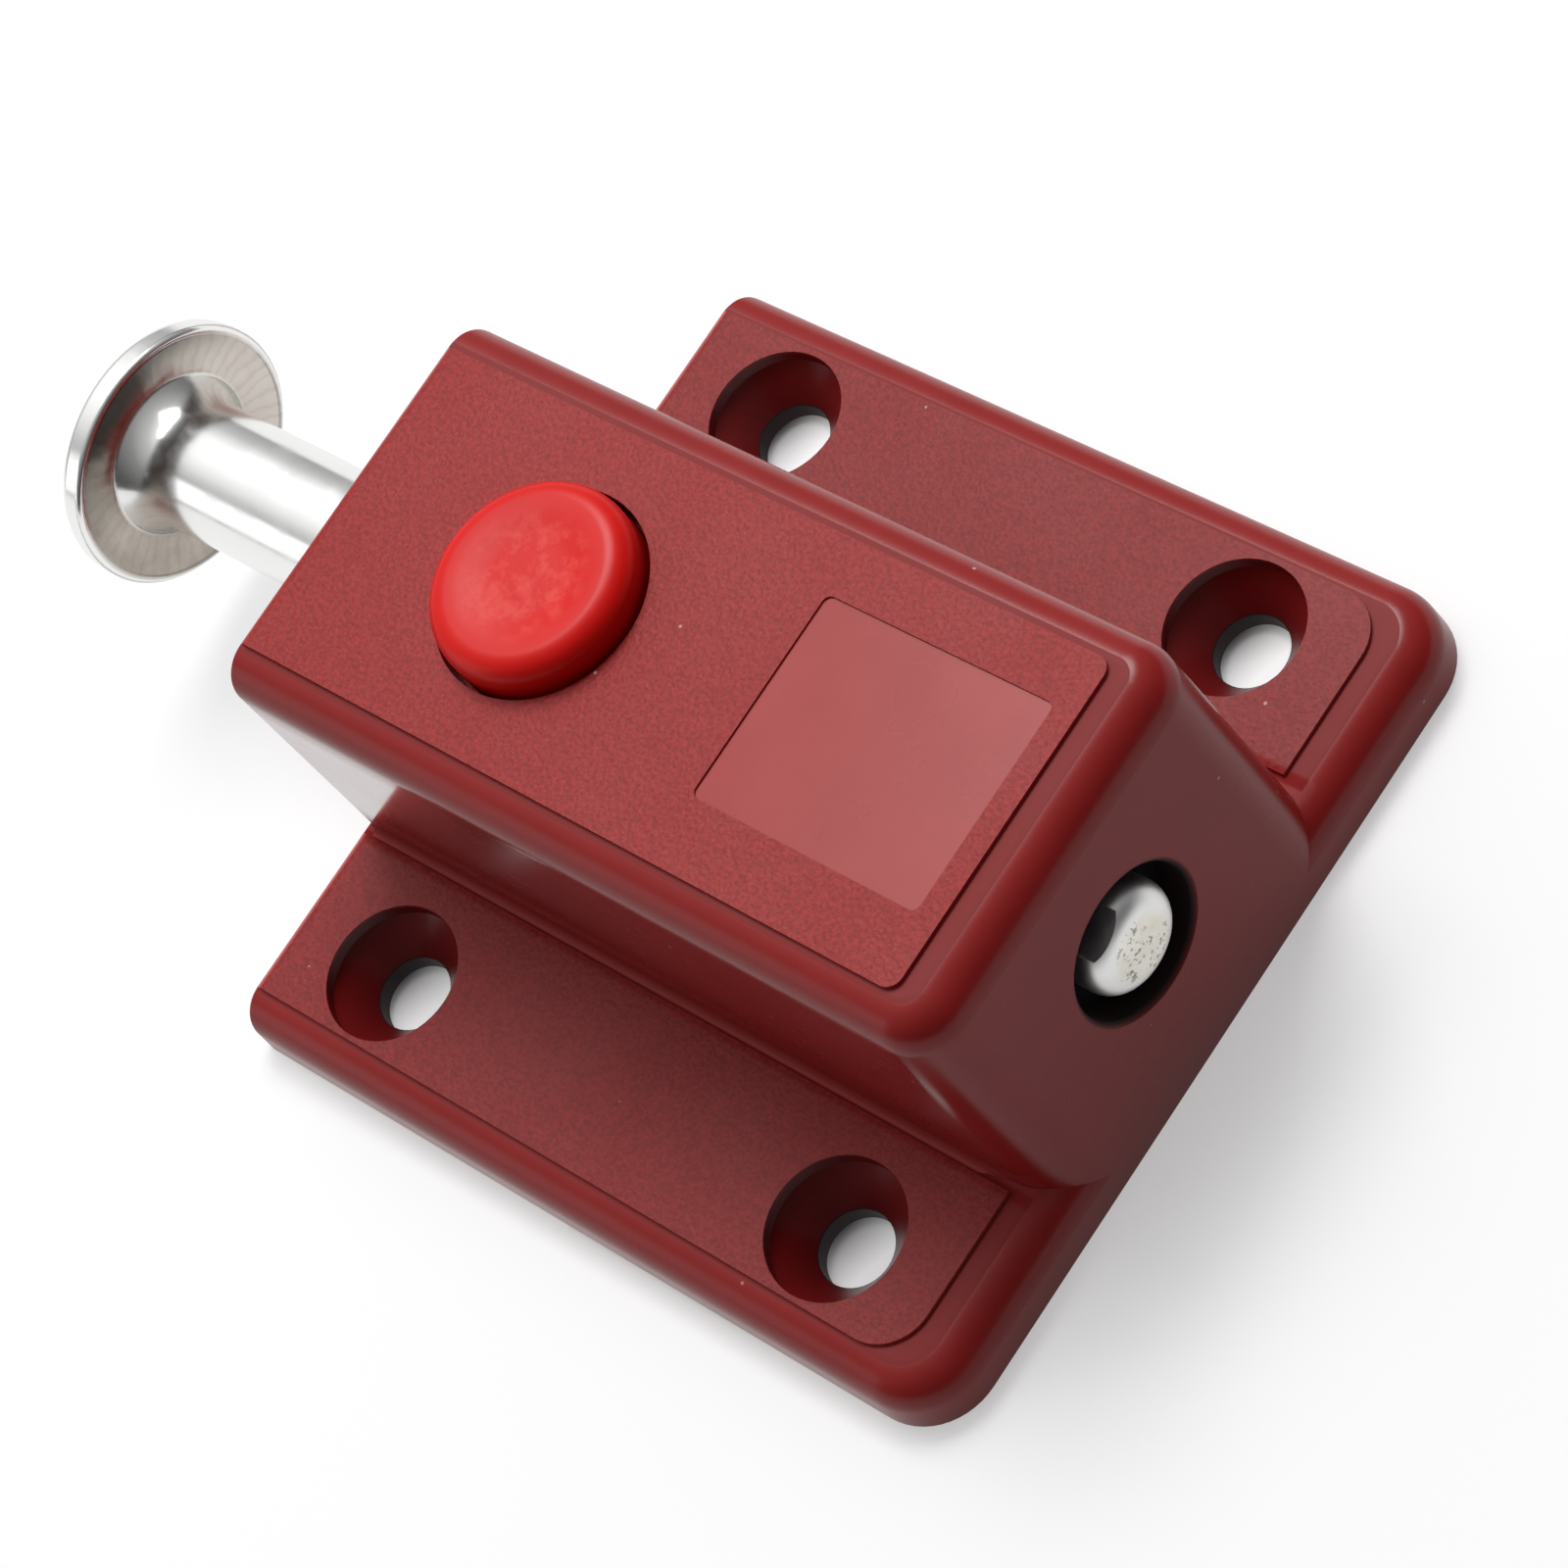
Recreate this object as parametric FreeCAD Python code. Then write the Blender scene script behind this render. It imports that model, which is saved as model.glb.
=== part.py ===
import FreeCAD, Part
import math
import os

# Push-button spring bolt for cupboard and cabinet doors, in millimetres.
# +Z stands off the mounting face and +X runs along the bolt towards its tip.
# The origin is the middle of the four screw holes, on the mounting face.
# At rest the knob is out, the tip is level with the front face and the button is up.

V = FreeCAD.Vector

# Housing, one moulding: a base plate with two flanges and a raised box
rear_reach = 25.1            # origin to the rear end face
front_reach = 28.1           # origin to the front end face, at the mounting face
base_width = 52.4            # across the flanges, at the mounting face
flange_height = 4.0          # mounting face to the grained face of a flange
housing_height = 22.0        # mounting face to the grained face of the box
box_width = 25.3             # across the box where it meets the flanges
front_draft = 3.0            # degrees, front end face
base_side_draft = 3.0        # degrees, outer sides of the flanges
box_side_draft = 0.7         # degrees, side walls of the box
base_corner_radius = 4.2     # front corners of the base, seen from above
box_corner_radius = 3.2      # front corners of the box, seen from above
base_edge_radius = 2.2       # top edges of the base
box_edge_radius = 2.3        # top edges of the box
rear_edge_radius = 1.0       # edges of the rear end face
foot_radius = 0.7            # inner corner between box and flange
foot_fade = 3.0              # length over which that rounding ends before the front corner
edge_break = 0.25            # small rounding where the front bore breaks the face

# Grained panels, which stand a little above the polished borders
panel_rise = 0.25
panel_front_border = 3.1     # panel edge to the front end face, at the panel's own height
box_panel_width = 20.2
box_panel_corner = 0.9
flange_panel_border = 2.2    # panel edge to the flange's outer side
flange_panel_corner = 3.0
patch_length = 15.7          # polished bare patch on the box
patch_width = 12.8
patch_front_gap = 1.5        # patch to the panel's front edge
patch_offset = 0.4           # patch centre to the middle of the box
patch_depth = 0.12
patch_corner = 0.5

# Four countersunk screw holes
screw_spacing_x = 34.2
screw_inset = 6.7            # hole's axis to the flange's outer side, at the mounting face
screw_bore_radius = 2.25
screw_rim_radius = 4.2
screw_rim_depth = 0.9        # straight wall above the cone
screw_cone_angle = 45.0      # degrees, cone to the hole's axis

# Cavity for the mechanism, open at the mounting face
rear_wall = 3.0
front_wall = 3.4
top_wall = 2.4
cavity_width = 20.4
saddle_thickness = 2.3       # each of the two saddles that guide the latch fork
saddle_height = 13.0

# Bolt, turned in one piece with its knob
bolt_radius = 4.0            # shank between the knob and the shoulder
rod_radius = 3.25            # thinner rod from the shoulder to the tip
bolt_height = 11.3           # mounting face to the bolt's axis
bolt_tip_proud = 0.45        # tip beyond the front end face at rest
bolt_tip_round = 1.5         # rounding of the tip's edge
bolt_travel = 18.5           # rest to latched
neck_gap = 0.2               # neck to the rear end face when latched
knob_radius = 8.1
knob_thickness = 1.7
knob_edge_radius = 0.6
knob_dish = 0.4              # depth of the dished inner face
neck_radius = 4.9
neck_length = 2.3
rear_bore_clearance = 0.08
front_bore_radius = 4.45
saddle_bore_clearance = 0.3
catch_depth = 0.8
catch_play = 0.4             # catch groove wider than the fork
tip_slot_width = 2.9
tip_slot_floor = 2.65        # bolt's axis to the slot's floor
tip_slot_length = 8.0
tip_slot_turn = 21.0         # degrees from upright, towards -Y

# Return spring with its clip and washers
spring_radius = 5.3          # axis to the middle of the wire
spring_wire = 0.8
spring_turns = 10
clip_thickness = 0.7
clip_radius = 4.6
clip_groove_depth = 0.6
clip_clearance = 0.05
washer_thickness = 0.6
washer_margin = 0.5          # washer beyond the spring's outside
washer_bore_clearance = 0.08
guide_thickness = 1.2        # guide washer in the front wall
guide_seat_clearance = 0.05

# Release button and latch fork
button_place = -9.15         # origin to the button's axis, along the box
button_radius = 6.15
button_clearance = 0.3
button_rise = 2.2            # above the grained face
button_edge_radius = 1.4
button_dish = 0.25
button_wall = 1.6
button_flange_radius = 7.3
button_flange_thickness = 0.8
button_travel = 1.5
fork_thickness = 1.0
fork_play = 0.15             # fork to each saddle
fork_width = 12.0
fork_bolt_clearance = 0.1
fork_band = 2.3              # height of the band under the bolt
fork_band_gap = 0.4          # band to each spring
fork_shoulder_drop = 0.3     # shoulders below the window's lowest point
fork_spring_radius = 1.2
fork_spring_wire = 0.4
fork_spring_turns = 5
fork_spring_clearance = 0.2  # spring to its pocket in the saddles
fork_spring_inset = 1.4      # fork's end to the spring's axis

# Base cover and its screws
cover_thickness = 1.6
cover_ledge = 1.2            # overlap on the housing all round
cover_gap = 0.1
cover_corner = 1.5
cover_screw_radius = 1.1
cover_screw_head = 2.1
cover_screw_length = 6.2
cover_screw_cross = 0.55     # width of the driver's cross
cover_screw_cross_depth = 0.8
cover_screw_clearance = 0.05
cover_boss_radius = 2.4
cover_boss_height = 7.0
cover_screw_inset_x = 2.8    # cavity end to the screw
cover_screw_inset_y = 2.8    # cavity side to the screw

# Sizes and places that follow from the sizes above
screw_spacing_y = base_width - 2 * screw_inset
fork_spring_place = fork_width / 2 - fork_spring_inset
fork_band_width = 2 * (fork_spring_place - fork_spring_radius - fork_spring_wire / 2 - fork_band_gap)
flange_plane = flange_height - panel_rise
box_plane = housing_height - panel_rise
cavity_rear = -rear_reach + rear_wall
cavity_top = box_plane - top_wall


def front_face_at(height):
    """Where the drafted front end face stands at a height."""
    return front_reach - height * math.tan(math.radians(front_draft))


cavity_front = front_face_at(bolt_height) - front_wall
bolt_tip = front_face_at(bolt_height) + bolt_tip_proud
knob_front = -rear_reach - bolt_travel - neck_length - neck_gap
catch_place = button_place - bolt_travel
saddle_front = button_place + fork_thickness / 2 + fork_play + saddle_thickness
washer_rear = saddle_front
spring_rear = washer_rear + washer_thickness
clip_rear = spring_rear
spring_front = cavity_front
washer_radius = spring_radius + spring_wire / 2 + washer_margin
window_radius = bolt_radius + fork_bolt_clearance
fork_bottom = bolt_height - window_radius - fork_band
fork_shoulder = bolt_height - window_radius - fork_shoulder_drop
fork_top = cavity_top - button_flange_thickness
button_bore_radius = button_radius + button_clearance


def tapered_block(x_rear, half_width, low, high, side_draft):
    """A block with an upright rear end, drafted sides and the drafted front end face."""
    top_half = half_width - (high - low) * math.tan(math.radians(side_draft))
    block = Part.makeWedge(x_rear, low, -half_width, -top_half, x_rear,
                           front_face_at(low), high, half_width, top_half, front_face_at(high))
    block.rotate(V(0, 0, 0), V(1, 0, 0), 90)
    return block


def edges_where(solid, test):
    """The edges whose middle and both ends pass the test."""
    chosen = []
    for edge in solid.Edges:
        points = [edge.valueAt(edge.FirstParameter), edge.valueAt(edge.LastParameter)]
        points.append(edge.valueAt((edge.FirstParameter + edge.LastParameter) / 2))
        if all(test(p) for p in points):
            chosen.append(edge)
    return chosen


def rounded_block(x_rear, half_width, high, side_draft, corner_radius, edge_radius):
    """A tapered block with round front corners and round top edges; its rear end stays sharp."""
    block = tapered_block(x_rear, half_width, 0, high, side_draft)
    near_front = front_face_at(high) - 0.01
    corners = [e for e in edges_where(block, lambda p: p.x > near_front) if abs(e.tangentAt(0).z) > 0.9]
    block = block.makeFillet(corner_radius, corners)
    rim = edges_where(block, lambda p: p.z > high - 0.001)
    rim = [e for e in rim if e.BoundBox.XMax > x_rear + 0.001]
    return block.makeFillet(edge_radius, rim)


def round_rear_end(block, radius):
    """Rounds the edges of a block's rear end face, all but the one on the mounting face."""
    x_rear = block.BoundBox.XMin
    edges = edges_where(block, lambda p: p.x < x_rear + 0.001)
    return block.makeFillet(radius, [e for e in edges if e.CenterOfMass.z > 0.001])


def upright_cylinder(x, y, low, high, radius):
    return Part.makeCylinder(radius, high - low, V(x, y, low))


def bolt_cylinder(x_low, x_high, radius):
    """A cylinder about the bolt's axis."""
    return Part.makeCylinder(radius, x_high - x_low, V(x_low, 0, bolt_height), V(1, 0, 0))


def flat_sheet(x_low, x_high, y_low, y_high, low, high, corners, radius):
    """A sheet with the named upright corners rounded, such as ("high", "low") for +X, -Y."""
    sheet = Part.makeBox(x_high - x_low, y_high - y_low, high - low, V(x_low, y_low, low))
    places = {"low": (x_low, y_low), "high": (x_high, y_high)}
    wanted = [(places[cx][0], places[cy][1]) for cx, cy in corners]
    chosen = []
    for edge in sheet.Edges:
        middle = edge.CenterOfMass
        if abs(edge.tangentAt(0).z) > 0.9:
            if any(abs(middle.x - x) + abs(middle.y - y) < 0.001 for x, y in wanted):
                chosen.append(edge)
    return sheet.makeFillet(radius, chosen)


def turned(points, axis_point, axis):
    """A solid of revolution from a closed outline in the XZ plane."""
    outline = Part.makePolygon(points + [points[0]])
    return Part.Face(outline).revolve(axis_point, axis, 360)


def coil(radius, wire, length, turns, start, direction):
    """A round-wire spring, its section drawn with ten sides, whose ends lie inside its length."""
    per_turn = 16
    sides = 10
    steps = per_turn * turns
    rise = (length - wire) / steps
    lean = math.atan2(rise * per_turn, 2 * math.pi * radius)
    rings = []
    for i in range(steps + 1):
        a = 2 * math.pi * i / per_turn
        outward = V(math.cos(a), math.sin(a), 0)
        upward = V(math.sin(a) * math.sin(lean), -math.cos(a) * math.sin(lean), math.cos(lean))
        centre = outward * radius + V(0, 0, wire / 2 + i * rise)
        ring = []
        for k in range(sides + 1):
            b = 2 * math.pi * (k % sides) / sides
            ring.append(centre + outward * (wire / 2 * math.cos(b)) + upward * (wire / 2 * math.sin(b)))
        rings.append(Part.makePolygon(ring))
    spring = Part.makeLoft(rings, True, True)
    spring.Placement = FreeCAD.Placement(start, FreeCAD.Rotation(V(0, 0, 1), direction))
    return spring


def screw_places():
    return [(sx * screw_spacing_x / 2, sy * screw_spacing_y / 2) for sx in (-1, 1) for sy in (-1, 1)]


def cover_screw_places():
    x_rear = cavity_rear + cover_screw_inset_x
    x_front = cavity_front - cover_screw_inset_x
    y = cavity_width / 2 - cover_screw_inset_y
    return [(x, s * y) for x in (x_rear, x_front) for s in (-1, 1)]


def countersunk_hole(x, y):
    """Straight rim, cone and through bore, cut from the flange's top."""
    cone_low = flange_height - screw_rim_depth
    cone_depth = (screw_rim_radius - screw_bore_radius) / math.tan(math.radians(screw_cone_angle))
    points = [V(x, y, -1), V(x + screw_bore_radius, y, -1)]
    points += [V(x + screw_bore_radius, y, cone_low - cone_depth)]
    points += [V(x + screw_rim_radius, y, cone_low), V(x + screw_rim_radius, y, flange_height + 1)]
    points += [V(x, y, flange_height + 1)]
    return turned(points, V(x, y, 0), V(0, 0, 1))


def foot_strip():
    """The concave rounding in the inner corner on the +Y side, fading out before the front corner."""
    wall = box_width / 2
    tangent = foot_radius / math.tan(math.radians(45 + box_side_draft / 2))
    lean = math.radians(box_side_draft)
    start = -rear_reach + rear_edge_radius
    on_wall = V(start, wall - tangent * math.sin(lean), flange_plane + tangent * math.cos(lean))
    depth = 0.3
    points = [V(start, wall - depth, flange_plane - depth), V(start, wall + tangent, flange_plane - depth)]
    points += [V(start, wall + tangent, flange_plane), on_wall, V(start, wall - depth, on_wall.z)]
    end = front_face_at(flange_plane) - box_corner_radius
    strip = Part.Face(Part.makePolygon(points + [points[0]])).extrude(V(end - start, 0, 0))
    hollow = Part.makeCylinder(foot_radius, end - start + 2,
                               V(start - 1, wall + tangent, flange_plane + foot_radius), V(1, 0, 0))
    slope = V(foot_radius, foot_fade, foot_fade)
    fade = Part.makeCylinder(5 * foot_fade, 5 * foot_fade, V(end, wall, flange_plane), slope)
    return strip.cut(hollow).cut(fade)


def grained_panels():
    """The raised panels on the box and on both flanges."""
    box_front = front_face_at(housing_height) - panel_front_border
    half = box_panel_width / 2
    corners = [("high", "low"), ("high", "high")]
    low = box_plane - 0.5
    panels = [flat_sheet(-rear_reach, box_front, -half, half, low, housing_height, corners, box_panel_corner)]
    front = front_face_at(flange_height) - panel_front_border
    inner = box_width / 2 + foot_radius * 0.9
    outer = base_width / 2 - flange_panel_border
    low = flange_plane - 0.5
    for y_low, y_high, side in ((inner, outer, "high"), (-outer, -inner, "low")):
        panels.append(flat_sheet(-rear_reach, front, y_low, y_high, low, flange_height,
                                 [("high", side)], flange_panel_corner))
    return panels


def bare_patch():
    """The shallow polished recess on the box's panel."""
    front = front_face_at(housing_height) - panel_front_border - patch_front_gap
    corners = [(a, b) for a in ("low", "high") for b in ("low", "high")]
    y = patch_offset
    half = patch_width / 2
    floor = housing_height - patch_depth
    return flat_sheet(front - patch_length, front, y - half, y + half, floor, housing_height + 1,
                      corners, patch_corner)


def saddles():
    """Two saddles that carry the bolt and keep the latch fork between them."""
    half = cavity_width / 2 + 0.5
    pocket_radius = fork_spring_radius + fork_spring_wire / 2 + fork_spring_clearance
    solids = []
    for side in (-1, 1):
        near = button_place + side * (fork_thickness / 2 + fork_play)
        far = near + side * saddle_thickness
        low_x = min(near, far)
        rib = Part.makeBox(saddle_thickness, 2 * half, saddle_height - cover_thickness,
                           V(low_x, -half, cover_thickness))
        radius = bolt_radius + saddle_bore_clearance
        throat = Part.makeBox(saddle_thickness, 2 * radius, saddle_height, V(low_x, -radius, bolt_height))
        rib = rib.cut(bolt_cylinder(low_x - 1, low_x + saddle_thickness + 1, radius)).cut(throat)
        pocket_top = fork_shoulder + fork_shoulder_drop
        for y in (-fork_spring_place, fork_spring_place):
            rib = rib.cut(upright_cylinder(button_place, y, 0, pocket_top, pocket_radius))
        solids.append(rib)
    return solids


def cover_bosses():
    solids = []
    for x, y in cover_screw_places():
        boss = upright_cylinder(x, y, cover_thickness, cover_boss_height, cover_boss_radius)
        web_y = min(y, math.copysign(cavity_width / 2 + 0.5, y))
        web_depth = abs(math.copysign(cavity_width / 2 + 0.5, y) - y)
        web = Part.makeBox(2 * cover_boss_radius, web_depth, cover_boss_height - cover_thickness,
                           V(x - cover_boss_radius, web_y, cover_thickness))
        solids.append(boss.fuse(web))
    return solids


def base_block(high):
    return rounded_block(-rear_reach, base_width / 2, high, base_side_draft,
                         base_corner_radius, base_edge_radius)


def box_block(high):
    lean = flange_height * math.tan(math.radians(box_side_draft))
    return rounded_block(-rear_reach, box_width / 2 + lean, high, box_side_draft,
                         box_corner_radius, box_edge_radius)


def make_housing():
    body = base_block(flange_plane).multiFuse([box_block(box_plane)] + grained_panels())
    outside = round_rear_end(base_block(flange_height), rear_edge_radius)
    outside = outside.fuse(round_rear_end(box_block(housing_height), rear_edge_radius))
    strip = foot_strip()
    body = body.common(outside).multiFuse([strip, strip.mirror(V(0, 0, 0), V(0, 1, 0))]).removeSplitter()
    length = cavity_front - cavity_rear
    cavity = Part.makeBox(length, cavity_width, cavity_top, V(cavity_rear, -cavity_width / 2, 0))
    body = body.cut(cavity).cut(cover_sheet(0, 1))
    body = body.multiFuse(saddles() + cover_bosses())
    bores = [countersunk_hole(x, y) for x, y in screw_places()]
    bores.append(bolt_cylinder(-rear_reach - 1, cavity_rear + 1, bolt_radius + rear_bore_clearance))
    bores.append(bolt_cylinder(cavity_front - 1, front_reach + 1, front_bore_radius))
    seat_radius = washer_radius + guide_seat_clearance
    bores.append(bolt_cylinder(cavity_front - 1, cavity_front + guide_thickness, seat_radius))
    bores.append(upright_cylinder(button_place, 0, cavity_top - 1, housing_height + 1, button_bore_radius))
    pilot_radius = cover_screw_radius + cover_screw_clearance
    for x, y in cover_screw_places():
        bores.append(upright_cylinder(x, y, 0, cover_screw_length + 0.4, pilot_radius))
    bores.append(front_lip())
    return body.cut(bores[0].multiFuse(bores[1:])).cut(bare_patch())


def front_lip():
    """The small bevel round the front bore, square to the drafted end face."""
    rim = front_bore_radius + edge_break
    face = V(front_face_at(bolt_height), 0, bolt_height)
    cone = Part.makeCone(rim + 1, front_bore_radius - 1, edge_break + 2, V(1, 0, 0), V(-1, 0, 0))
    cone.rotate(V(0, 0, 0), V(0, 1, 0), -front_draft)
    cone.translate(face)
    return cone


def cover_sheet(gap, extra):
    """The cover's outline, or the recess for it when there is no gap."""
    low_x = cavity_rear - cover_ledge + gap
    high_x = cavity_front + cover_ledge - gap
    half = cavity_width / 2 + cover_ledge - gap
    corners = [(a, b) for a in ("low", "high") for b in ("low", "high")]
    return flat_sheet(low_x, high_x, -half, half, -extra, cover_thickness, corners, cover_corner)


def make_cover():
    cover = cover_sheet(cover_gap, 0)
    for x, y in cover_screw_places():
        cover = cover.cut(cover_screw(x, y, cover_screw_clearance))
    return cover


def cover_screw(x, y, gap):
    """A countersunk self-tapping screw, driven up from the mounting face."""
    shank = cover_screw_radius + gap
    head = cover_screw_head + gap
    cone_top = head - shank
    points = [V(x, y, 0), V(x + head, y, 0), V(x + shank, y, cone_top)]
    points += [V(x + shank, y, cover_screw_length - shank), V(x + shank * 0.3, y, cover_screw_length)]
    points += [V(x, y, cover_screw_length)]
    return turned(points, V(x, y, 0), V(0, 0, 1))


def cross_recess(x, y):
    """The driver's cross in a cover screw's head."""
    half = cover_screw_cross / 2
    arm = cover_screw_head * 0.62
    long_way = Part.makeBox(2 * arm, 2 * half, cover_screw_cross_depth, V(x - arm, y - half, 0))
    other_way = Part.makeBox(2 * half, 2 * arm, cover_screw_cross_depth, V(x - half, y - arm, 0))
    return long_way.fuse(other_way)


def make_cover_screws():
    return Part.makeCompound([cover_screw(x, y, 0).cut(cross_recess(x, y)) for x, y in cover_screw_places()])


def arc_points(cx, cr, radius, start, end, count):
    """Points of an arc in the bolt's half section, angles in degrees from the bolt's direction."""
    points = []
    for i in range(count + 1):
        a = math.radians(start + (end - start) * i / count)
        points.append((cx + radius * math.cos(a), cr + radius * math.sin(a)))
    return points


def make_bolt():
    """Knob, neck, shank with its catch groove, shoulder, and rod with its clip groove and round tip."""
    knob_rear = knob_front - knob_thickness
    catch_half = fork_thickness / 2 + catch_play / 2
    clip_low = clip_rear - clip_clearance
    clip_high = clip_rear + clip_thickness + clip_clearance
    flare = neck_radius - bolt_radius
    dish_floor = knob_front - knob_dish
    neck_reach = neck_length + knob_dish
    half = [(knob_rear, 0)]
    rim = knob_radius - knob_edge_radius
    half += arc_points(knob_rear + knob_edge_radius, rim, knob_edge_radius, 180, 90, 5)
    half += [(knob_front - knob_edge_radius / 2, knob_radius), (knob_front, rim + knob_edge_radius / 2)]
    half += [(dish_floor, neck_radius + 0.4)]
    for t in (0.0, 0.12, 0.28, 0.48, 0.72, 1.0):
        half.append((dish_floor + neck_reach * t, bolt_radius + flare * (1 - t) ** 2.2))
    catch_floor = bolt_radius - catch_depth
    half += [(catch_place - catch_half - catch_depth / 2, bolt_radius)]
    half += [(catch_place - catch_half, catch_floor)]
    half += [(catch_place + catch_half, catch_floor), (catch_place + catch_half, bolt_radius)]
    half += [(washer_rear, bolt_radius), (washer_rear, rod_radius)]
    half += [(clip_low, rod_radius), (clip_low, rod_radius - clip_groove_depth)]
    half += [(clip_high, rod_radius - clip_groove_depth), (clip_high, rod_radius)]
    half += arc_points(bolt_tip - bolt_tip_round, rod_radius - bolt_tip_round, bolt_tip_round, 90, 0, 8)
    half += [(bolt_tip, 0)]
    points = [V(x, 0, bolt_height + r) for x, r in half]
    bolt = turned(points, V(0, 0, bolt_height), V(1, 0, 0))
    slot = Part.makeBox(tip_slot_length + 1, tip_slot_width, rod_radius,
                        V(bolt_tip - tip_slot_length, -tip_slot_width / 2, bolt_height + tip_slot_floor))
    slot.rotate(V(0, 0, bolt_height), V(1, 0, 0), tip_slot_turn)
    return bolt.cut(slot)


def make_clip():
    """An open retaining ring in the bolt's groove."""
    ring = bolt_cylinder(clip_rear, clip_rear + clip_thickness, clip_radius)
    bore = rod_radius - clip_groove_depth + clip_clearance
    ring = ring.cut(bolt_cylinder(clip_rear - 1, clip_rear + clip_thickness + 1, bore))
    mouth = Part.makeBox(clip_thickness + 2, 1.7 * bore, clip_radius + 1,
                         V(clip_rear - 1, -0.85 * bore, bolt_height - clip_radius - 1))
    return ring.cut(mouth)


def washer(x_rear, thickness):
    """A flat washer on the rod."""
    disc = bolt_cylinder(x_rear, x_rear + thickness, washer_radius)
    return disc.cut(bolt_cylinder(x_rear - 1, x_rear + thickness + 1, rod_radius + washer_bore_clearance))


def make_return_spring():
    start = V(spring_rear, 0, bolt_height)
    return coil(spring_radius, spring_wire, spring_front - spring_rear, spring_turns, start, V(1, 0, 0))


def make_button():
    """A cap with a dished top, a rounded rim and a flange between the housing's top wall and the fork."""
    top = housing_height + button_rise
    inner = button_radius - button_wall
    centre_r = button_radius - button_edge_radius
    centre_z = top - button_edge_radius
    rim = [(r, z) for r, z in arc_points(centre_r, centre_z, button_edge_radius, 0, 90, 6)]
    half = [(0, top - button_dish - button_wall), (inner, top - button_dish - button_wall), (inner, fork_top)]
    half += [(button_flange_radius, fork_top), (button_flange_radius, cavity_top)]
    half += [(button_radius, cavity_top)] + rim
    for reach, drop in ((0.86, 0.15), (0.68, 0.60), (0.45, 0.92), (0.0, 1.0)):
        half.append((centre_r * reach, top - button_dish * drop))
    points = [V(button_place + r, 0, z) for r, z in half]
    return turned(points, V(button_place, 0, 0), V(0, 0, 1))


def make_latch_fork():
    """A stamped fork: arms that carry the button, and a band that drops into the catch groove."""
    low_x = button_place - fork_thickness / 2
    plate = Part.makeBox(fork_thickness, fork_width, fork_top - fork_shoulder,
                         V(low_x, -fork_width / 2, fork_shoulder))
    band = Part.makeBox(fork_thickness, fork_band_width, fork_shoulder + 1 - fork_bottom,
                        V(low_x, -fork_band_width / 2, fork_bottom))
    fork = plate.fuse(band)
    fork = fork.cut(bolt_cylinder(low_x - 1, low_x + fork_thickness + 1, window_radius))
    throat = Part.makeBox(fork_thickness, 2 * window_radius, fork_top, V(low_x, -window_radius, bolt_height))
    return fork.cut(throat).removeSplitter()


def make_latch_spring(side):
    start = V(button_place, side * fork_spring_place, cover_thickness)
    length = fork_shoulder - cover_thickness
    return coil(fork_spring_radius, fork_spring_wire, length, fork_spring_turns, start, V(0, 0, 1))


def parts():
    return {
        "housing": make_housing(),
        "base_cover": make_cover(),
        "cover_screws": make_cover_screws(),
        "bolt": make_bolt(),
        "retaining_clip": make_clip(),
        "clip_washer": washer(washer_rear, washer_thickness),
        "guide_washer": washer(cavity_front, guide_thickness),
        "return_spring": make_return_spring(),
        "release_button": make_button(),
        "latch_fork": make_latch_fork(),
        "latch_spring_near": make_latch_spring(-1),
        "latch_spring_far": make_latch_spring(1),
    }


os.makedirs("parts", exist_ok=True)
for name, shape in parts().items():
    shape.exportStep("parts/" + name + ".step")
    print(name, "solids", len(shape.Solids), "valid", shape.isValid(), "volume", round(shape.Volume, 2))
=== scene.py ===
import math

import bpy
from mathutils import Matrix, Vector


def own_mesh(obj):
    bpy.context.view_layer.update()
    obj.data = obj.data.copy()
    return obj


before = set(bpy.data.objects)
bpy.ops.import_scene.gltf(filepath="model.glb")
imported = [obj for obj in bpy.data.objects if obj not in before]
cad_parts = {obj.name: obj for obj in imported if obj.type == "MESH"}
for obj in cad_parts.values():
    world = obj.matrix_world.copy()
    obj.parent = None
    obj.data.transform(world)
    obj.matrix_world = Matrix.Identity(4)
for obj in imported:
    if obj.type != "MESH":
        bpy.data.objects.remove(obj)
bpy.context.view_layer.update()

# Sizes in metres, as the latch is made
FLANGE_TOP = 0.0040
BOX_TOP = 0.0220
BOX_HALF_WIDTH = 0.01265
BOLT_HEIGHT = 0.0113
BOLT_TIP = 0.02796
KNOB_FACE = -0.0461
FRONT_BORE = 0.00445
SCREW_X = 0.0171
SCREW_Y = 0.0195
SINK_RADIUS = 0.0042
SCREW_BORE = 0.00225
PATCH_DROP = 0.00011
BORDER_DROP = 0.00025
BUTTON_PLACE = -0.00915
BUTTON_ROUND = 0.0014
BUTTON_FLAT = 0.00475
BUTTON_SHOULDER = 0.0226
DISH_EDGE = 0.0034
DISH_EDGE_REACH = 0.0015
DISH_SLOPE = 0.13
TIP_ROUND = 0.0015
SLOT_TURN = math.radians(21.0)
SLOT_HALF_WIDTH = 0.001462
SLOT_FLOOR = 0.002638
KNOB_RADIUS = 0.0081
KNOB_THICKNESS = 0.0017
KNOB_ROUND = 0.0006
NECK_FLOOR = -0.0465
NECK_REACH = 0.0027
NECK_SLOPE = 0.733
NECK_CURVE = 1.2
NECK_RIM = 0.00486
NECK_RIM_REACH = 0.0004
NECK_RADIUS = 0.00529

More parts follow.
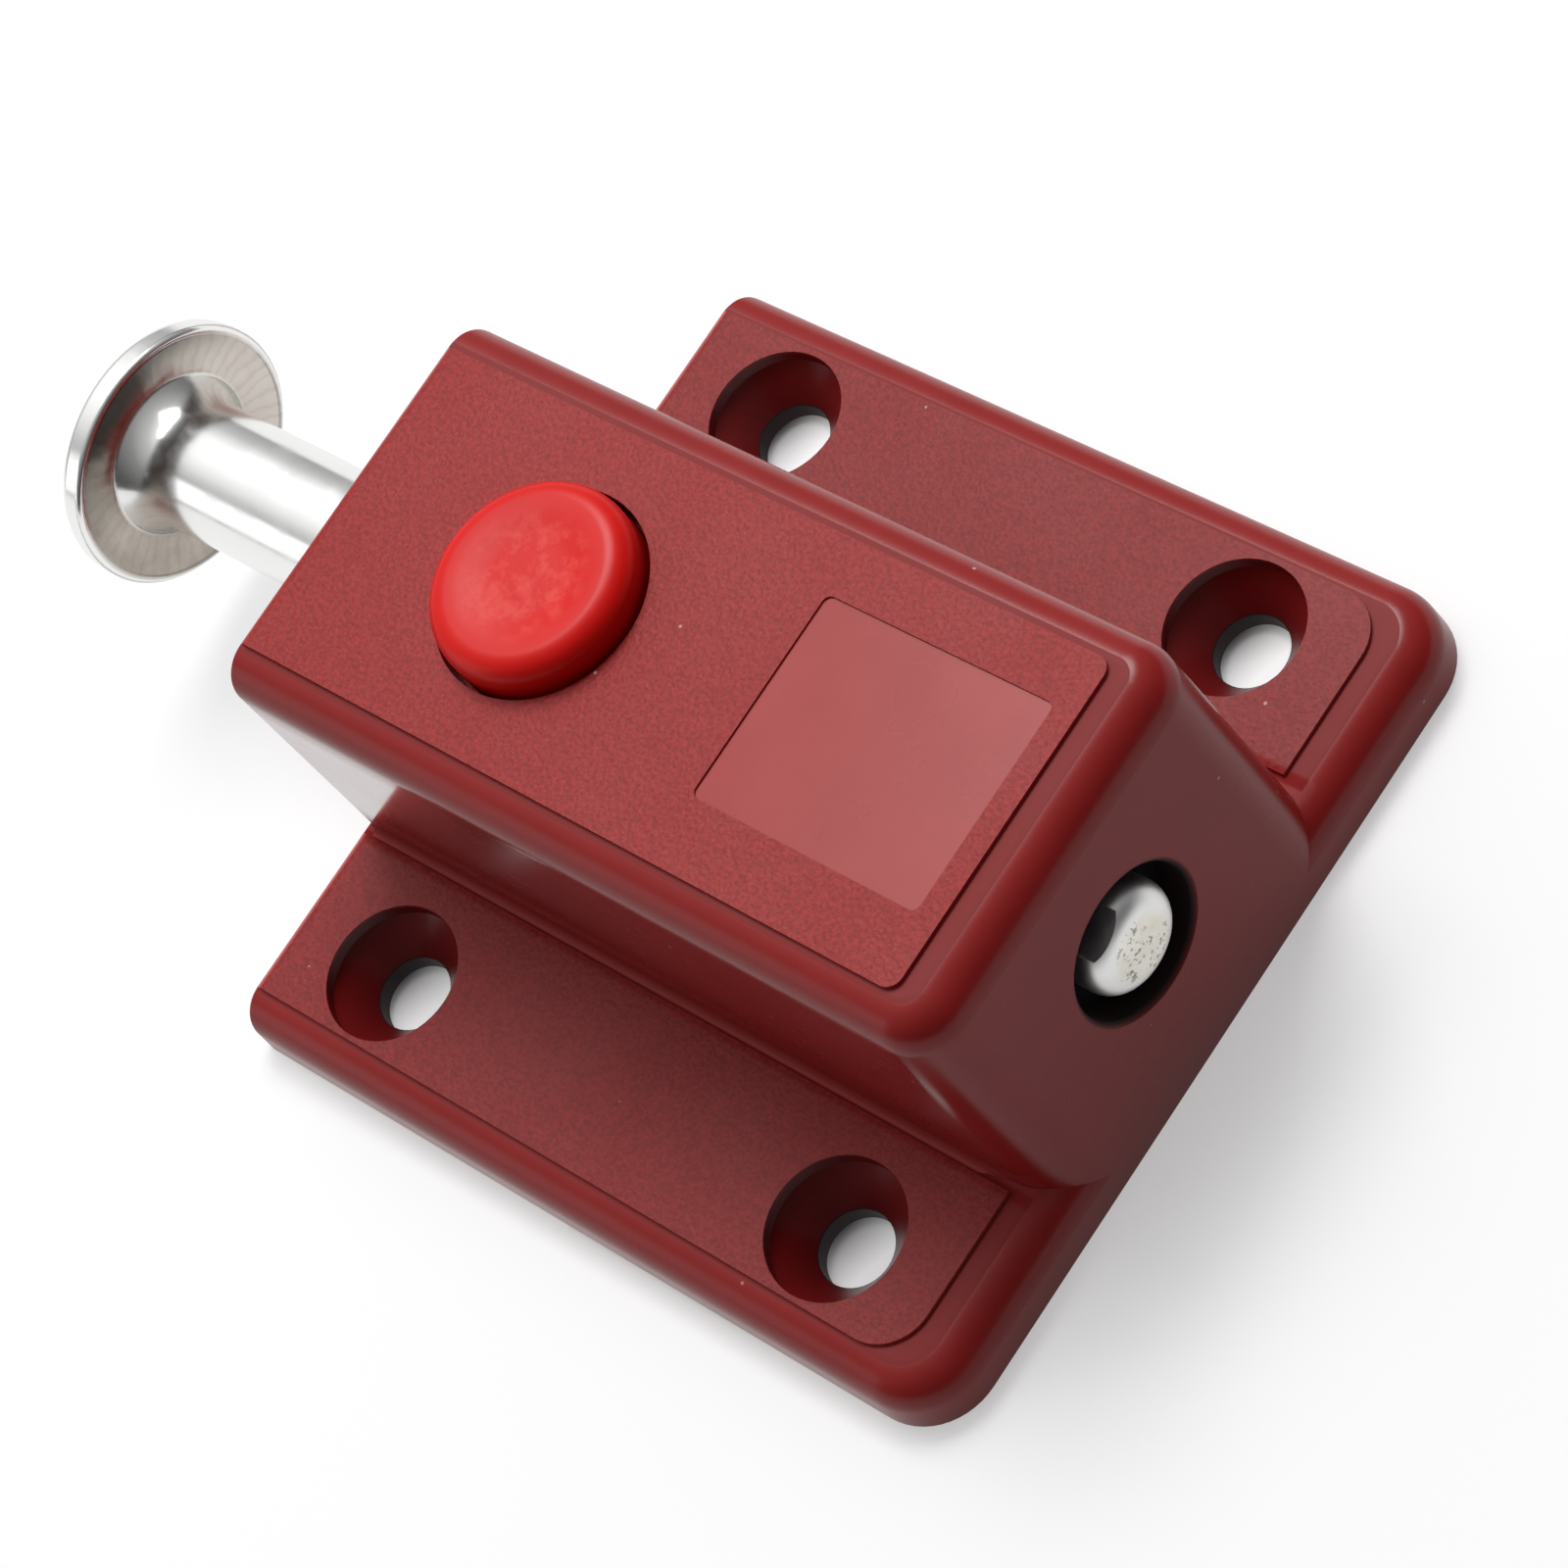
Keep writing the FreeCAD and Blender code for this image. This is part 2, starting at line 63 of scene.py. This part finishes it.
# A mask's ramp on a sharp edge, its reach past a wall and past a level, the least radius divided by,
# and the depths of the reliefs
SHARP = 0.00002
MARGIN = 0.00005
LEVEL = 0.00003
TINY = 0.00001
PLASTIC_RELIEF = 0.00004
COVER_RELIEF = 0.00005
GUIDE_RELIEF = 0.00003
METAL_RELIEF = 0.00003
STEEL_RELIEF = 0.00002

# The picture: its width and the lens's distance in its points, and the film's width in millimetres
PICTURE = 1600.0
LENS = 5559.445
FILM = 36.0

# Half the floor that the latch covers, along the bolt and across it
UNDER_X = 0.0225
UNDER_Y = 0.0255

# Where the lamps point
MIDDLE = (0.0, 0.0, 0.01)


class Value:
    """A shader value; arithmetic on it adds the Math nodes."""

    def __init__(self, finish, socket):
        self.finish = finish
        self.socket = socket

    def maths(self, operation, *others, clamp=False):
        inputs = {0: self}
        for number, other in enumerate(others):
            inputs[number + 1] = other
        settings = {"operation": operation, "use_clamp": clamp}
        return self.finish.node("ShaderNodeMath", settings, inputs)

    def __add__(self, other):
        return self.maths("ADD", other)

    __radd__ = __add__

    def __mul__(self, other):
        return self.maths("MULTIPLY", other)

    def __sub__(self, other):
        return self.maths("SUBTRACT", other)

    def __rsub__(self, other):
        return (self * -1.0) + other

    def __truediv__(self, other):
        return self.maths("DIVIDE", other)

    def __abs__(self):
        return self.maths("ABSOLUTE")

    def above(self, edge, soft):
        """0 below the edge and 1 above it, with a ramp as wide as soft."""
        return ((self - edge) * (1.0 / soft)).maths("ADD", 0.5, clamp=True)

    def below(self, edge, soft):
        return 1.0 - self.above(edge, soft)

    def share(self, start, reach):
        """How much of the reach after the start is covered, from 0 to 1."""
        return ((self - start) * (1.0 / reach)).maths("MULTIPLY", 1.0, clamp=True)


class Finish:
    """One material under construction: a Principled surface and the nodes that feed it."""

    def __init__(self, name):
        self.material = bpy.data.materials.new(name)
        self.material.use_nodes = True
        self.tree = self.material.node_tree
        self.tree.nodes.clear()
        self.surface = self.tree.nodes.new("ShaderNodeBsdfPrincipled")
        output = self.tree.nodes.new("ShaderNodeOutputMaterial")
        self.tree.links.new(self.surface.outputs["BSDF"], output.inputs["Surface"])
        self.place = self.node("ShaderNodeTexCoord", {}, {}, "Object")
        self.rounding = None

    def node(self, kind, settings, inputs, output=0):
        """Adds one node: its settings first, then its sockets. Returns the wanted output."""
        made = self.tree.nodes.new(kind)
        for name, setting in settings.items():
            setattr(made, name, setting)
        for name, value in inputs.items():
            if isinstance(value, Value):
                self.tree.links.new(value.socket, made.inputs[name])
            else:
                made.inputs[name].default_value = value
        return Value(self, made.outputs[output])

    def feed(self, name, value):
        """Sets or links a socket of the surface."""
        if isinstance(value, Value):
            self.tree.links.new(value.socket, self.surface.inputs[name])
        else:
            self.surface.inputs[name].default_value = value

    def split(self, vector):
        """The three values of a place or a direction."""
        made = self.tree.nodes.new("ShaderNodeSeparateXYZ")
        self.tree.links.new(vector.socket, made.inputs[0])
        return [Value(self, made.outputs[i]) for i in range(3)]

    def axes(self):
        return self.split(self.place)

    def round_off(self, mask, directions):
        """Shades a turned rounding evenly, with the given directions where the mask is 1."""
        own = self.split(self.node("ShaderNodeNewGeometry", {}, {}, "Normal"))
        parts = [first + (second - first) * mask for first, second in zip(own, directions)]
        joined = self.node("ShaderNodeCombineXYZ", {}, dict(enumerate(parts)))
        self.rounding = self.node("ShaderNodeVectorMath", {"operation": "NORMALIZE"}, {0: joined}, "Vector")

    def noise(self, scale, detail, roughness=0.5, place=None):
        inputs = {"Vector": place or self.place, "Scale": scale, "Detail": detail, "Roughness": roughness}
        return self.node("ShaderNodeTexNoise", {}, inputs, "Fac")

    def cells(self, scale, output="Distance"):
        return self.node("ShaderNodeTexVoronoi", {}, {"Vector": self.place, "Scale": scale}, output)

    def stretched(self, x, y, z):
        """The place with each axis multiplied, for streaks and turning lines."""
        inputs = {0: self.place, 1: (x, y, z)}
        return self.node("ShaderNodeVectorMath", {"operation": "MULTIPLY"}, inputs, "Vector")

    def mix(self, factor, first, second):
        """Second over first by the factor, as colours."""
        made = self.tree.nodes.new("ShaderNodeMix")
        made.data_type = "RGBA"
        for number, value in ((0, factor), (6, first), (7, second)):
            if isinstance(value, Value):
                self.tree.links.new(value.socket, made.inputs[number])
            elif number == 0:
                made.inputs[number].default_value = value
            else:
                made.inputs[number].default_value = (*value, 1.0)
        return Value(self, made.outputs[2])

    def relief(self, height, depth, strength):
        """A bump whose height of 1 stands for depth metres."""
        inputs = {"Height": height, "Distance": depth, "Strength": strength}
        if self.rounding:
            inputs["Normal"] = self.rounding
        self.feed("Normal", self.node("ShaderNodeBump", {}, inputs))


def within(value, low, high, soft):
    """1 between low and high."""
    return value.above(low, soft) * value.below(high, soft)


def hypotenuse(first, second):
    return (first * first + second * second).maths("SQRT")


def unit_rest(value):
    """What is left of a direction of length 1 when one part of it is value."""
    return (1.0 - value * value).maths("MAXIMUM", 0.0).maths("SQRT")


def housing_plastic():
    """Red-brown moulding: polished borders and walls, finely grained panels, a polished bare patch."""
    f = Finish("housing_plastic")
    x, y, z = f.axes()

    # Each of these is 1 on its part of the surface and 0 off it. The panels are the grained tops,
    # the patch is the bare one, flat is the border round a panel and step the rise between them
    beside = abs(y).above(BOX_HALF_WIDTH + 0.0003, 0.0002)
    box_panel = z.above(BOX_TOP - 3 * SHARP, SHARP)
    on_flange = within(z, FLANGE_TOP - 3 * SHARP, FLANGE_TOP + 2 * SHARP, SHARP)
    flange_panel = on_flange * abs(y).above(BOX_HALF_WIDTH + 0.0006, 0.0001)
    panel = box_panel.maths("MAXIMUM", flange_panel)
    patch = within(z, BOX_TOP - PATCH_DROP - SHARP, BOX_TOP - PATCH_DROP + SHARP, SHARP)
    box_border = BOX_TOP - BORDER_DROP
    flange_border = FLANGE_TOP - BORDER_DROP
    box_step = within(z, box_border + LEVEL, BOX_TOP - PATCH_DROP - SHARP, SHARP)
    flange_step = within(z, flange_border + LEVEL, FLANGE_TOP - 0.00007, SHARP) * beside
    step = box_step.maths("MAXIMUM", flange_step)
    box_flat = within(z, box_border - LEVEL, box_border + SHARP, SHARP / 2)
    flange_flat = within(z, flange_border - LEVEL, flange_border + SHARP, SHARP / 2) * beside
    flat = flange_flat.maths("MAXIMUM", box_flat)

    # The front bore, the screw holes from their sinks down to their bores, the box's walls and foot
    off_bolt = hypotenuse(y, z - BOLT_HEIGHT)
    front_bore = off_bolt.below(FRONT_BORE + 0.00022, 0.0003) * x.above(0.020, 0.001)
    off_screw = hypotenuse(abs(x) - SCREW_X, abs(y) - SCREW_Y)
    sink = off_screw.below(SINK_RADIUS + MARGIN, 0.0001) * z.below(FLANGE_TOP - 0.0001, 0.0003)
    deep_painted_shade = sink * z.below(0.0022, 0.0026)
    bore = off_screw.below(SCREW_BORE + MARGIN, 2 * SHARP) * z.below(0.0030, 0.0003)
    wall = within(z, 0.0055, 0.0190, 0.0030) * abs(y).above(0.0108, 0.0004) * x.below(0.0020, 0.0160)
    foot = within(abs(y), BOX_HALF_WIDTH - 0.0004, BOX_HALF_WIDTH + 0.0010, 0.0003)
    foot = foot * within(z, FLANGE_TOP - 0.0004, FLANGE_TOP + 0.0012, 0.0003)

    # Grain on the panels, a slight flow on the polished parts, faint ripples on the patch
    pits = f.cells(3600.0)
    grain = f.noise(3900.0, 2.0, 0.6)
    fine = f.noise(7600.0, 1.0)
    height = (pits * 0.5 + grain * 0.6 + fine * 0.3) * panel
    flow = f.noise(420.0, 2.0) * (1.0 - panel) * 0.10
    ripple = f.noise(1.0, 2.0, 0.5, f.stretched(150.0, 420.0, 100.0)) * patch * 0.25
    f.relief(height + flow + ripple, PLASTIC_RELIEF, 0.85)

    cloud = f.noise(180.0, 3.0)
    polished = f.mix(cloud, (0.235, 0.010, 0.010), (0.275, 0.014, 0.013))
    grained = f.mix(grain.above(0.50, 0.28), (0.235, 0.008, 0.008), (0.335, 0.019, 0.017))
    grained = f.mix(pits.below(0.16, 0.10) * 0.28, grained, (0.440, 0.072, 0.066))
    # Painted shade: the flange panels a little darker than the box's top
    grained = f.mix(flange_panel * 0.24, grained, (0.060, 0.004, 0.004))
    colour = f.mix(panel, polished, grained)
    stain = f.noise(95.0, 4.0, 0.6).above(0.52, 0.25)
    colour = f.mix(patch, colour, f.mix(stain, (0.315, 0.015, 0.014), (0.350, 0.025, 0.022)))
    # Painted shade in the screw holes: the sinks darker, deeper down darker still, the bores nearly black
    colour = f.mix(sink * 0.45, colour, (0.060, 0.004, 0.005))
    colour = f.mix(deep_painted_shade * 0.55, colour, (0.020, 0.002, 0.003))
    colour = f.mix(bore * 0.90, colour, (0.006, 0.001, 0.002))
    # Painted shade on the border bands, which takes down their reflection
    colour = f.mix(flat * 0.30, colour, (0.110, 0.003, 0.003))
    # Painted light on the rises round the panels, which pales their dark lines
    colour = f.mix(step * (1.0 - sink) * 0.35, colour, (0.700, 0.120, 0.110))
    # Painted shade: the front bore nearly black inside
    colour = f.mix(front_bore * 0.97, colour, (0.003, 0.001, 0.001))

    # A few light specks of dust, each in its own cell
    dust_spread = f.cells(420.0)
    dust_chosen = f.cells(420.0, "Color").maths("SUBTRACT", 0.72, clamp=True).above(0.02, 0.02)
    dust = dust_spread.below(0.045, 0.02) * dust_chosen * (1.0 - sink) * (1.0 - front_bore)
    colour = f.mix(dust * 0.65, colour, (0.70, 0.42, 0.38))
    f.feed("Base Color", colour)

    # Polished parts shine, grained and shaded ones don't; the side walls carry a clear gloss
    smear = f.noise(90.0, 4.0, 0.6)
    gloss = 0.25 + panel * 0.25 + patch * 0.02 + smear.above(0.55, 0.3) * 0.05
    f.feed("Roughness", gloss + (front_bore + bore) * 0.45 + (flat + foot) * 0.32)
    f.feed("Coat Weight", wall)
    f.feed("Coat Roughness", 0.12)
    f.feed("Coat IOR", 1.7)
    f.feed("IOR", 1.45)
    f.feed("Specular IOR Level", 0.32)
    return f.material


def button_plastic():
    """Bright red moulding with a polished rim and a slightly mottled dish."""
    f = Finish("button_plastic")
    x, y, z = f.axes()
    along = x - BUTTON_PLACE
    radius = hypotenuse(along, y).maths("MAXIMUM", TINY)

    # The rim and the dish's edge, as the slope away from the middle
    bend = radius.share(BUTTON_FLAT, BUTTON_ROUND)
    off_edge = (radius - DISH_EDGE) * (1.0 / DISH_EDGE_REACH)
    hollow = (1.0 - off_edge * off_edge).maths("MAXIMUM", 0.0)
    outward = bend - hollow * hollow * DISH_SLOPE
    top = z.above(BUTTON_SHOULDER, 0.0001)
    f.round_off(top, [outward * along / radius, outward * y / radius, unit_rest(outward)])

    dish = radius.below(0.0036, 0.0016) * z.above(BOX_TOP + 0.001, 0.0002)
    low = z.below(BOX_TOP + 0.0008, 0.0016)
    mottle = f.noise(900.0, 3.0, 0.65)
    scuffs = f.noise(1.0, 3.0, 0.6, f.stretched(500.0, 1600.0, 500.0))
    f.relief(mottle * dish * 0.6 + scuffs * 0.2 + f.noise(350.0, 2.0) * 0.25, PLASTIC_RELIEF, 0.8)
    tint = f.noise(260.0, 3.0)
    colour = f.mix(tint, (0.590, 0.003, 0.001), (0.670, 0.005, 0.002))
    worn = mottle.above(0.56, 0.20) * dish
    colour = f.mix(worn * 0.45, colour, (0.780, 0.090, 0.070))
    # Painted shade low on the button's side, near the housing
    colour = f.mix(low * 0.45, colour, (0.330, 0.003, 0.001))
    f.feed("Base Color", colour)
    f.feed("Roughness", 0.36 + dish * mottle * 0.12)
    f.feed("Specular IOR Level", 0.24)
    return f.material


def bolt_metal():
    """Bright plated metal: a polished shank, a brownish turned knob face, a dull pitted end."""
    f = Finish("bolt_metal")
    x, y, z = f.axes()
    up = z - BOLT_HEIGHT
    radius = hypotenuse(y, up).maths("MAXIMUM", TINY)

    # The roundings of the tip, the knob's rim and the neck, each as the slope along the bolt
    slot_side = y * math.cos(SLOT_TURN) + up * math.sin(SLOT_TURN)
    slot_up = up * math.cos(SLOT_TURN) - y * math.sin(SLOT_TURN)
    slot = abs(slot_side).below(SLOT_HALF_WIDTH, SHARP / 2) * slot_up.above(SLOT_FLOOR, SHARP / 2)
    tip_bend = x.share(BOLT_TIP - TIP_ROUND, TIP_ROUND)
    tip_mask = x.above(BOLT_TIP - TIP_ROUND, SHARP) * (1.0 - slot)
    knob_rear = (x - (KNOB_FACE - KNOB_THICKNESS + KNOB_ROUND)).maths("MINIMUM", 0.0) * (1.0 / KNOB_ROUND)
    knob_near = (x - (KNOB_FACE - KNOB_ROUND / 2)).maths("MAXIMUM", 0.0) * (2.0 / KNOB_ROUND)
    knob_bend = (knob_rear + knob_near).maths("MAXIMUM", -1.0).maths("MINIMUM", 1.0)
    knob_mask = x.below(KNOB_FACE + MARGIN, SHARP) * radius.above(KNOB_RADIUS - KNOB_ROUND, SHARP)
    flare = (1.0 - x.share(NECK_FLOOR, NECK_REACH)).maths("POWER", NECK_CURVE) * NECK_SLOPE
    rim = radius.share(NECK_RIM, NECK_RIM_REACH)
    neck_x = flare * (1.0 - rim) + rim
    neck_x = neck_x / hypotenuse(neck_x, 1.0 - rim)
    neck_mask = within(x, NECK_FLOOR - SHARP, NECK_FLOOR + NECK_REACH, SHARP / 2)
    neck_mask = neck_mask * radius.below(NECK_RADIUS, SHARP)
    bend = tip_bend * tip_mask + knob_bend * knob_mask + neck_x * neck_mask
    outward = unit_rest(bend) / radius
    f.round_off(tip_mask + knob_mask + neck_mask, [bend, outward * y, outward * up])

    # Turned lines on the knob's inner face, pits on the tip, drawing scratches along the shank
    tip = x.above(BOLT_TIP - 0.0040, 0.0010)
    end = x.above(BOLT_TIP - 0.0003, 0.0002) * radius.below(0.0020, 0.0003)
    face = within(x, KNOB_FACE - 0.0007, KNOB_FACE + 0.0002, 0.0002) * within(radius, 0.0050, 0.0077, 0.0003)
    angle = y.maths("ARCTAN2", up)
    spokes = (angle * 46.0 + f.noise(700.0, 2.0) * 9.0).maths("SINE")
    rings = (radius * 15000.0 + f.noise(500.0, 2.0) * 4.0).maths("SINE")
    pits = f.cells(2300.0)
    scratches = f.noise(1.0, 2.0, 0.5, f.stretched(150.0, 2600.0, 2600.0))
    height = spokes * face * 0.10 + rings * face * 0.06 + pits * end * 1.1 + scratches * (1.0 - end) * 0.12
    f.relief(height, METAL_RELIEF, 0.7)

    cloud = f.noise(260.0, 4.0, 0.6)
    tarnish = f.noise(500.0, 4.0, 0.65)
    metal = f.mix(tarnish, (0.900, 0.900, 0.885), (0.960, 0.960, 0.955))
    inner = f.mix(cloud.above(0.50, 0.40), (0.560, 0.510, 0.450), (0.350, 0.315, 0.270))
    # Painted light on the far side of the knob face
    far_side_painted_light = y.above(0.0020, 0.0060)
    inner = f.mix(far_side_painted_light * 0.65, inner, (0.800, 0.760, 0.700))
    inner = f.mix(spokes.above(0.55, 0.8) * 0.14, inner, (0.250, 0.220, 0.190))
    # Painted shade on the knob face near the rim at the top
    shade = up.above(0.0038, 0.0050) * radius.above(0.0062, 0.0022)
    inner = f.mix(shade * 0.75, inner, (0.110, 0.100, 0.090))
    metal = f.mix(face, metal, inner)
    dull = f.mix(f.noise(900.0, 3.0).above(0.5, 0.3), (0.930, 0.890, 0.790), (0.990, 0.970, 0.910))
    speck = f.noise(3300.0, 2.0, 0.6).above(0.575, 0.06) * f.noise(420.0, 2.0).above(0.44, 0.10)
    dull = f.mix(speck * 0.80, dull, (0.190, 0.200, 0.185))
    f.feed("Base Color", f.mix(end, metal, dull))
    f.feed("Metallic", 1.0 - end * 0.10)
    f.feed("Roughness", 0.16 + tip * 0.26 + face * 0.14 + tarnish.above(0.6, 0.3) * 0.10)
    return f.material


def plain_steel(name, low, high, roughness, streak):
    """Plated or drawn steel with fine drawing streaks."""
    f = Finish(name)
    tint = f.noise(450.0, 4.0, 0.6)
    lines = f.noise(1.0, 3.0, 0.6, f.stretched(*streak))
    f.relief(lines, STEEL_RELIEF, 0.5)
    f.feed("Base Color", f.mix(tint, low, high))
    f.feed("Metallic", 1.0)
    f.feed("Roughness", roughness + lines * 0.12)
    return f.material


def cover_plastic():
    """The moulded base cover, satin, a shade browner than the housing."""
    f = Finish("cover_plastic")
    grain = f.noise(1800.0, 3.0, 0.6)
    f.relief(grain, COVER_RELIEF, 0.6)
    f.feed("Base Color", f.mix(f.noise(200.0, 3.0), (0.150, 0.016, 0.016), (0.190, 0.024, 0.022)))
    f.feed("Roughness", 0.38 + grain * 0.2)
    return f.material


def guide_plastic():
    """The black moulded guide, matt, with a faint sheen of grease."""
    f = Finish("guide_plastic")
    grain = f.noise(1500.0, 3.0, 0.6)
    f.relief(grain, GUIDE_RELIEF, 0.5)
    f.feed("Base Color", f.mix(grain, (0.004, 0.003, 0.003), (0.010, 0.008, 0.008)))
    f.feed("Roughness", 0.62 + grain * 0.2)
    f.feed("Specular IOR Level", 0.12)
    return f.material


def dress(node, material):
    """Gives a carried-over piece its finish."""
    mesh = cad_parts[node].data
    mesh.materials.clear()
    mesh.materials.append(material)


def paint_pieces():
    washer = plain_steel("washer_steel", (0.50, 0.50, 0.47), (0.62, 0.62, 0.60), 0.28, (900.0, 900.0, 900.0))
    spring = plain_steel("spring_steel", (0.40, 0.40, 0.40), (0.55, 0.55, 0.55), 0.22, (400.0, 400.0, 2500.0))
    screw = plain_steel("screw_steel", (0.52, 0.52, 0.50), (0.66, 0.66, 0.64), 0.25, (1500.0, 1500.0, 300.0))
    dress("housing", housing_plastic())
    dress("release_button", button_plastic())
    dress("bolt", bolt_metal())
    dress("base_cover", cover_plastic())
    dress("cover_screws", screw)
    dress("guide_washer", guide_plastic())
    for node in ("clip_washer", "latch_fork"):
        dress(node, washer)
    for node in ("return_spring", "retaining_clip", "latch_spring_near", "latch_spring_far"):
        dress(node, spring)


def shorten_spring(node):
    """Gives a coil a mesh of its own."""
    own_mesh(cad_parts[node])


def make_floor():
    """A wide pale floor that reaches past the picture, with a painted shadow of the latch in the screw holes.
    """
    bpy.ops.object.select_all(action="DESELECT")
    bpy.ops.mesh.primitive_plane_add(size=6.0, location=(0.0, 0.0, 0.0))
    floor = bpy.context.object
    floor.name = "floor"
    f = Finish("floor_white")
    f.feed("Roughness", 0.75)
    rays = f.tree.nodes.new("ShaderNodeLightPath")
    seen = Value(f, rays.outputs["Is Camera Ray"])
    mirrored = Value(f, rays.outputs["Is Glossy Ray"])
    glow = f.node("ShaderNodeEmission", {}, {"Color": (1.0, 1.0, 1.0, 1.0), "Strength": 1.0})
    x, y = f.axes()[:2]
    under = abs(x).below(UNDER_X, 0.002) * abs(y).below(UNDER_Y, 0.002)
    # The floor also glows white: for the camera more strongly behind the latch, painted light that pales its
    # shadow there; in reflections less in front of the latch, a painted shadow there
    behind = x.below(-0.030, 0.040)
    in_front = within(x, 0.026, 0.060, 0.02) * abs(y).below(0.034, 0.02)
    bright = f.mix(seen, (0.66, 0.655, 0.65), (0.97, 0.97, 0.97))
    sheen = 0.72 - in_front * 0.22

    # Seen through a hole, the floor carries a painted shadow on the side that the latch would shade
    off_x = x - x.maths("SIGN") * SCREW_X
    off_y = y - y.maths("SIGN") * SCREW_Y
    depth = (off_y * 0.30 - off_x * 0.95).above(0.0008, 0.0032)
    wash = (0.38 + behind * 0.34) * (1.0 - under) + under * (1.0 - depth) * 0.35
    f.feed("Base Color", f.mix(depth * under * 0.92, bright, (0.030, 0.030, 0.030)))
    blend = f.tree.nodes.new("ShaderNodeMixShader")
    output = next(n for n in f.tree.nodes if n.type == "OUTPUT_MATERIAL")
    f.tree.links.new((seen * wash + mirrored * sheen).socket, blend.inputs[0])
    f.tree.links.new(f.surface.outputs["BSDF"], blend.inputs[1])
    f.tree.links.new(glow.socket, blend.inputs[2])
    f.tree.links.new(blend.outputs[0], output.inputs["Surface"])
    floor.data.materials.append(f.material)


def soft_lamp(name, place, size, power):
    """A square softbox at place, turned towards the latch's middle."""
    bpy.ops.object.light_add(type="AREA", location=place)
    lamp = bpy.context.object
    lamp.name = name
    lamp.data.shape = "SQUARE"
    lamp.data.size = size
    lamp.data.energy = power
    lamp.rotation_euler = (Vector(MIDDLE) - Vector(place)).to_track_quat("-Z", "Y").to_euler()


def light_studio():
    """A soft room, brighter from behind and above, two softboxes there, a weak card on the near side."""
    world = bpy.data.worlds.new("studio")
    bpy.context.scene.world = world
    world.use_nodes = True
    tree = world.node_tree
    tree.nodes.clear()
    output = tree.nodes.new("ShaderNodeOutputWorld")
    sky = tree.nodes.new("ShaderNodeBackground")
    place = tree.nodes.new("ShaderNodeTexCoord")
    toward = tree.nodes.new("ShaderNodeVectorMath")
    toward.operation = "DOT_PRODUCT"
    toward.inputs[1].default_value = Vector((-0.58, 0.15, 0.80)).normalized()
    ramp = tree.nodes.new("ShaderNodeValToRGB")
    stops = ramp.color_ramp.elements
    stops[0].color = (0.05, 0.05, 0.05, 1.0)
    stops[1].color = (1.00, 1.00, 1.00, 1.0)
    for position, grey in ((0.45, 0.07), (0.70, 0.22), (0.88, 0.48)):
        stops.new(position).color = (grey, grey, grey, 1.0)
    half = tree.nodes.new("ShaderNodeMath")
    half.operation = "MULTIPLY_ADD"
    half.inputs[1].default_value = 0.5
    half.inputs[2].default_value = 0.5
    tree.links.new(place.outputs["Generated"], toward.inputs[0])
    tree.links.new(toward.outputs["Value"], half.inputs[0])
    tree.links.new(half.outputs[0], ramp.inputs[0])
    tree.links.new(ramp.outputs[0], sky.inputs["Color"])
    sky.inputs["Strength"].default_value = 1.12
    tree.links.new(sky.outputs[0], output.inputs["Surface"])
    soft_lamp("softbox_far", (-0.20, 0.24, 0.47), 0.24, 1.88)
    soft_lamp("softbox_high", (-0.25, 0.06, 0.54), 0.16, 0.45)
    soft_lamp("card_near", (-0.33, -0.42, 0.16), 0.26, 0.20)


def make_camera():
    """The photograph's viewing angle, from in front, a little to the near side, 53 degrees up."""
    data = bpy.data.cameras.new("camera")
    camera = bpy.data.objects.new("camera", data)
    bpy.context.scene.collection.objects.link(camera)
    data.sensor_fit = "HORIZONTAL"
    data.sensor_width = FILM
    data.lens = FILM * LENS / PICTURE
    data.clip_start = 0.01

    # Its place, and the ways that the picture's width and height run
    place = Vector((0.1726183, -0.0491649, 0.2445788))
    right = Vector((0.7248086, 0.5524512, -0.4116432))
    down = Vector((0.3732570, -0.8170899, -0.4393669))
    ahead = right.cross(down)
    turn = Matrix((right, -down, -ahead)).transposed()
    camera.matrix_world = Matrix.Translation(place) @ turn.to_4x4()
    bpy.context.scene.camera = camera


bpy.context.scene.view_settings.view_transform = "Standard"
make_camera()
paint_pieces()
shorten_spring("return_spring")
for spring in ("latch_spring_near", "latch_spring_far"):
    shorten_spring(spring)
make_floor()
light_studio()

bpy.context.view_layer.update()
